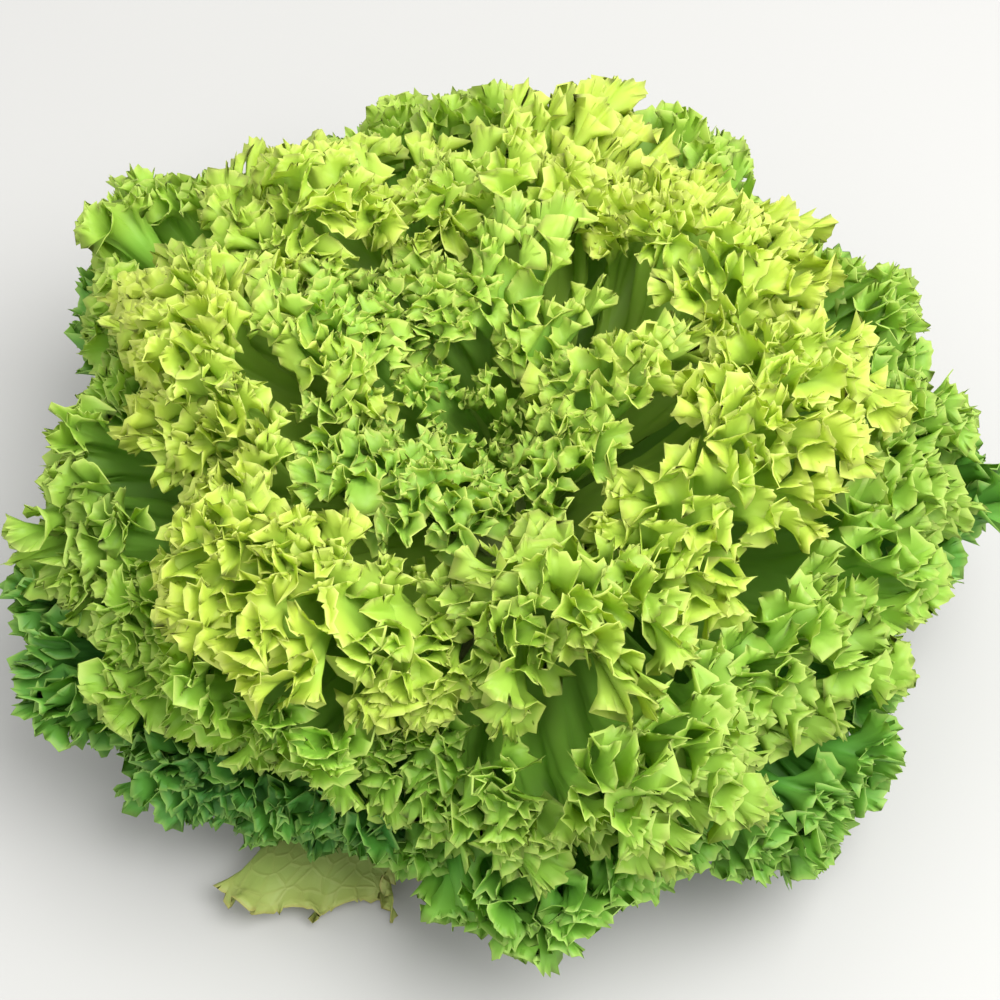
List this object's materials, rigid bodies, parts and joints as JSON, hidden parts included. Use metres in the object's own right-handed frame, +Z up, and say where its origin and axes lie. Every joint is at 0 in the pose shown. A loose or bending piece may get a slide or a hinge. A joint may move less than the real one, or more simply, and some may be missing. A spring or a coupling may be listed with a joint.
{
  "type": "loose-leaf lettuce head",
  "caption": "Cut head of green lollo bionda lettuce with tightly frilled, toothed leaf margins, resting on its short cut stump.",
  "frame": {"origin": "centre of the stump's flat cut face, which lies on the resting surface", "axes": "+Z up through the crown of the head, -Y towards the side seen in front, +X to that side's right"},
  "size_m": [0.305, 0.3115, 0.1386],
  "materials": {
    "stump_flesh": "matt, cut face slightly browned",
    "bud_leaf": "satin",
    "heart_leaf": "satin",
    "inner_leaf": "satin",
    "middle_leaf": "satin",
    "outer_leaf": "satin",
    "foot_leaf": "satin",
    "old_leaf": "satin, drying"
  },
  "bodies": {
    "root": {"stump": "stump_flesh", "bud_leaf_1": "bud_leaf", "bud_leaf_2": "bud_leaf", "bud_leaf_3": "bud_leaf", "heart_leaf_1": "heart_leaf", "heart_leaf_2": "heart_leaf", "heart_leaf_3": "heart_leaf", "heart_leaf_4": "heart_leaf", "inner_leaf_1": "inner_leaf", "inner_leaf_2": "inner_leaf", "inner_leaf_3": "inner_leaf", "inner_leaf_4": "inner_leaf", "inner_leaf_5": "inner_leaf", "inner_leaf_6": "inner_leaf", "inner_leaf_7": "inner_leaf", "middle_leaf_1": "middle_leaf", "middle_leaf_2": "middle_leaf", "middle_leaf_3": "middle_leaf", "middle_leaf_4": "middle_leaf", "middle_leaf_5": "middle_leaf", "middle_leaf_6": "middle_leaf", "middle_leaf_7": "middle_leaf", "middle_leaf_8": "middle_leaf", "outer_leaf_1": "outer_leaf", "outer_leaf_2": "outer_leaf", "outer_leaf_3": "outer_leaf", "outer_leaf_4": "outer_leaf", "outer_leaf_5": "outer_leaf", "outer_leaf_6": "outer_leaf", "outer_leaf_7": "outer_leaf", "outer_leaf_8": "outer_leaf", "outer_leaf_9": "outer_leaf", "foot_leaf_1": "foot_leaf", "foot_leaf_2": "foot_leaf", "foot_leaf_3": "foot_leaf", "foot_leaf_4": "foot_leaf", "foot_leaf_5": "foot_leaf", "foot_leaf_6": "foot_leaf", "foot_leaf_7": "foot_leaf", "old_leaf_1": "old_leaf"}
  },
  "joints": []
}
